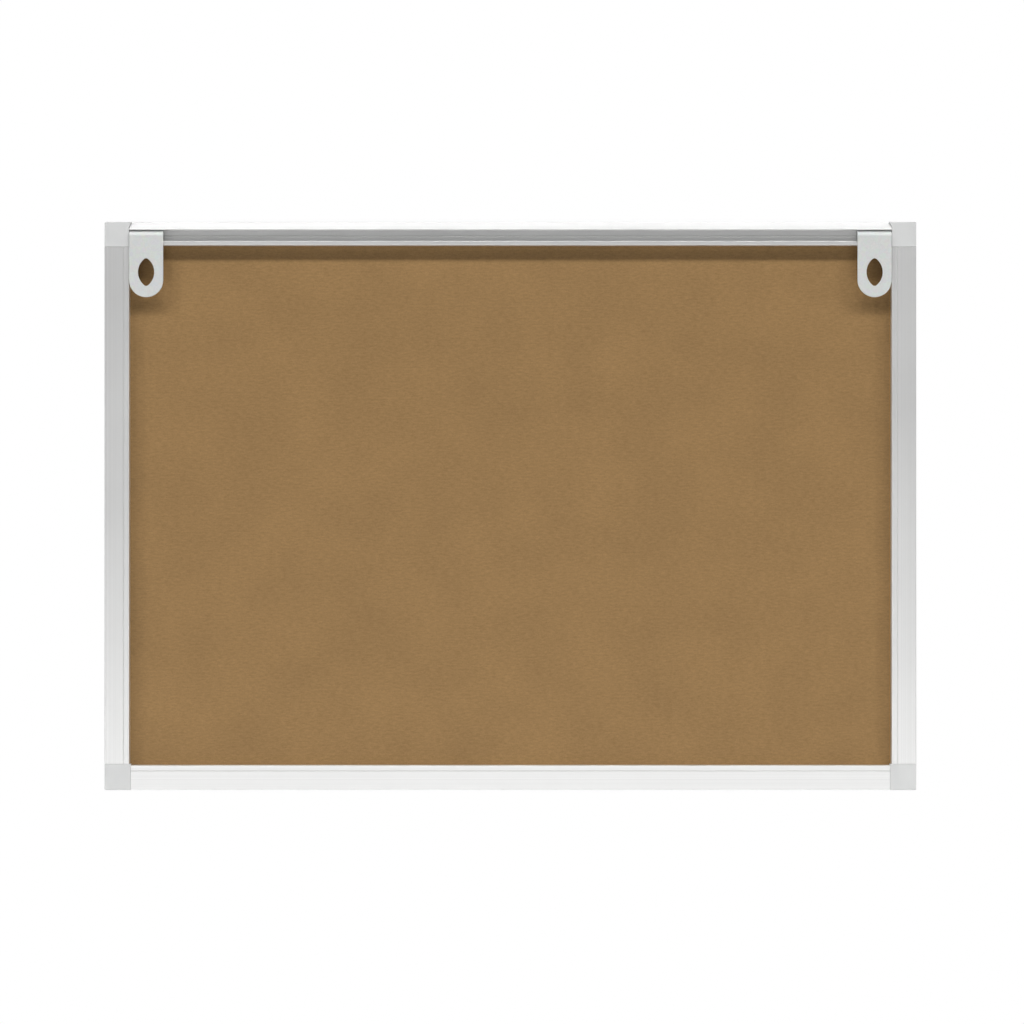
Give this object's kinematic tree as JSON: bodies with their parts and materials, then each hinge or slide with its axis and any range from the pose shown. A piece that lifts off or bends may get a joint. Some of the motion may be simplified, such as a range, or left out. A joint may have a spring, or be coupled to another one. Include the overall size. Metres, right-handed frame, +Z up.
{
  "type": "cork bulletin board",
  "caption": "Cork pin board in an aluminium frame with square plastic corners, hung on steel hangers that slide along a channel in the top rail.",
  "frame": {"origin": "on the wall plane, midway between the centres of the two hanger holes", "axes": "+Z up, +X to the right of a person facing the cork, +Y into the wall; the cork faces -Y"},
  "size_m": [0.5, 0.0174, 0.35],
  "materials": {
    "rail_aluminium": "satin anodised, drawn lengthwise",
    "corner_plastic": "light grey, fine moulded grain",
    "hanger_steel": "light grey coated sheet steel",
    "cork": "agglomerated cork granules, sanded",
    "fibre_core": "soft fibreboard",
    "kraft_liner": "brown kraft"
  },
  "bodies": {
    "board": {"rail_top": "rail_aluminium", "rail_bottom": "rail_aluminium", "rail_left": "rail_aluminium", "rail_right": "rail_aluminium", "corner_top_left": "corner_plastic", "corner_top_right": "corner_plastic", "corner_bottom_left": "corner_plastic", "corner_bottom_right": "corner_plastic", "cork_sheet": "cork", "core_board": "fibre_core", "back_liner": "kraft_liner"},
    "left_hanger": {"hanger_left": "hanger_steel"},
    "right_hanger": {"hanger_right": "hanger_steel"}
  },
  "joints": [
    {"name": "left_hanger_slide", "type": "slide", "parent": "board", "child": "left_hanger", "axis": [1, 0, 0], "range_m": [0, 0.2136]},
    {"name": "right_hanger_slide", "type": "slide", "parent": "board", "child": "right_hanger", "axis": [-1, 0, 0], "range_m": [0, 0.2136]}
  ]
}
